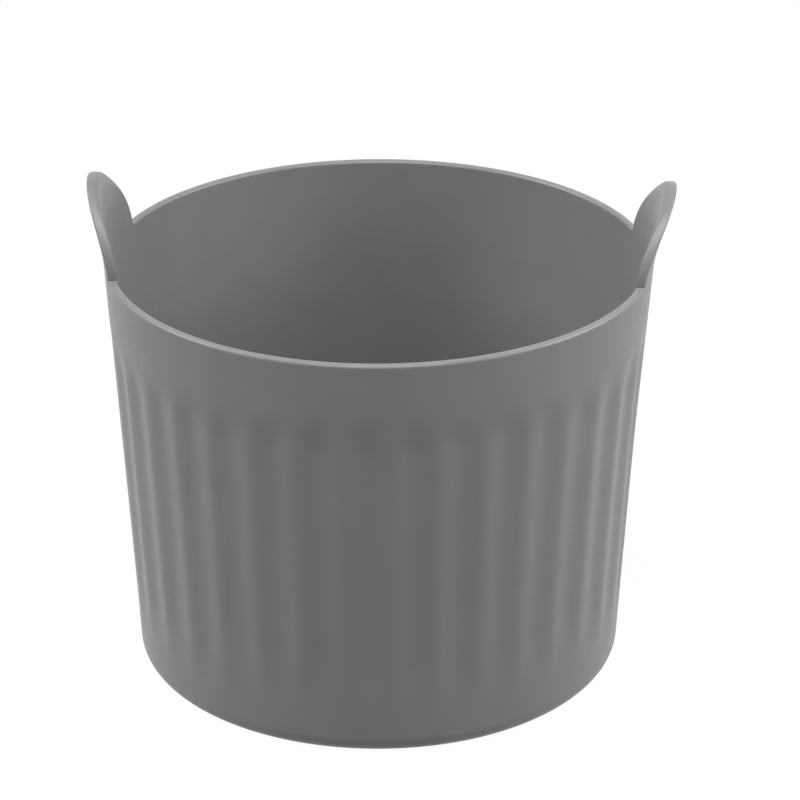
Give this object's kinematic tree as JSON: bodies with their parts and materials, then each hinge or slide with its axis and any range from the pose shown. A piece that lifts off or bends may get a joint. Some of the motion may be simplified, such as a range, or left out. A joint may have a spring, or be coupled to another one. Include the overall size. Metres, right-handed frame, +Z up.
{
  "type": "silicone muffin cup",
  "caption": "Tapered round silicone baking cup with a softly fluted wall, a smooth band under a thin flat rim, and flared finger ears that flex on opposite sides.",
  "frame": {"origin": "centre of the cup's underside, on the surface that it stands on", "axes": "+Z up along the cup's axis, +X towards the right ear, with the ears on +X and -X"},
  "size_m": [0.0956, 0.09, 0.0845],
  "materials": {
    "silicone": "matt grey moulded silicone"
  },
  "bodies": {
    "cup": {"cup_floor": "silicone", "cup_heel": "silicone", "fluted_wall": "silicone", "rim_band": "silicone", "left_ear_root": "silicone", "right_ear_root": "silicone"},
    "left_ear": {"left_ear_tab": "silicone"},
    "right_ear": {"right_ear_tab": "silicone"}
  },
  "joints": [
    {"name": "left_ear_flex", "type": "hinge", "parent": "cup", "child": "left_ear", "pos_m": [-0.0435, 0, 0.0732], "axis": [0, -1, 0], "range_deg": [-45, 45], "stiffness_Nm_per_rad": 0.008, "deforming": ["left_ear_root"]},
    {"name": "right_ear_flex", "type": "hinge", "parent": "cup", "child": "right_ear", "pos_m": [0.0435, 0, 0.0732], "axis": [0, 1, 0], "range_deg": [-45, 45], "stiffness_Nm_per_rad": 0.008, "deforming": ["right_ear_root"]}
  ]
}
